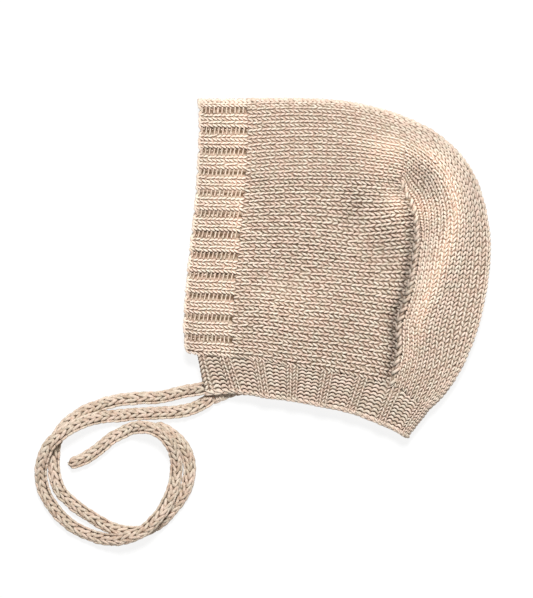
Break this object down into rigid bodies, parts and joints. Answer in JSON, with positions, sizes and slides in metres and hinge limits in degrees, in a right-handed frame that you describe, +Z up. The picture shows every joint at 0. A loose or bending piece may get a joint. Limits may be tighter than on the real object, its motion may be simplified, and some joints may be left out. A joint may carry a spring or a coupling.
{
  "type": "baby bonnet",
  "caption": "Knitted baby bonnet folded flat on its side: ribbed face band, shaped crown strip, side panels, ribbed neck band and two knitted cord ties.",
  "frame": {"origin": "on the surface it lies on, under the middle of the bonnet's own box without the ties", "axes": "+X from the face to the back of the head, +Y from the nape to the top of the head, +Z up through the folded bonnet, from the far side to the near side"},
  "size_m": [0.2376, 0.2335, 0.0278],
  "materials": {
    "plain_knit": "soft fine-gauge stocking stitch in heathered oatmeal wool",
    "rib_knit": "soft knitted rib in heathered oatmeal wool",
    "seam_knit": "raised slanting stitches in heathered oatmeal wool",
    "cord_knit": "round knitted cord in heathered oatmeal wool"
  },
  "bodies": {
    "root": {"front_band": "rib_knit", "neck_band": "rib_knit", "crown_strip": "plain_knit", "side_panel_near": "plain_knit", "side_panel_far": "plain_knit", "seam_ridge_near": "seam_knit", "seam_ridge_far": "seam_knit", "tie_near": "cord_knit", "tie_far": "cord_knit"}
  },
  "joints": []
}
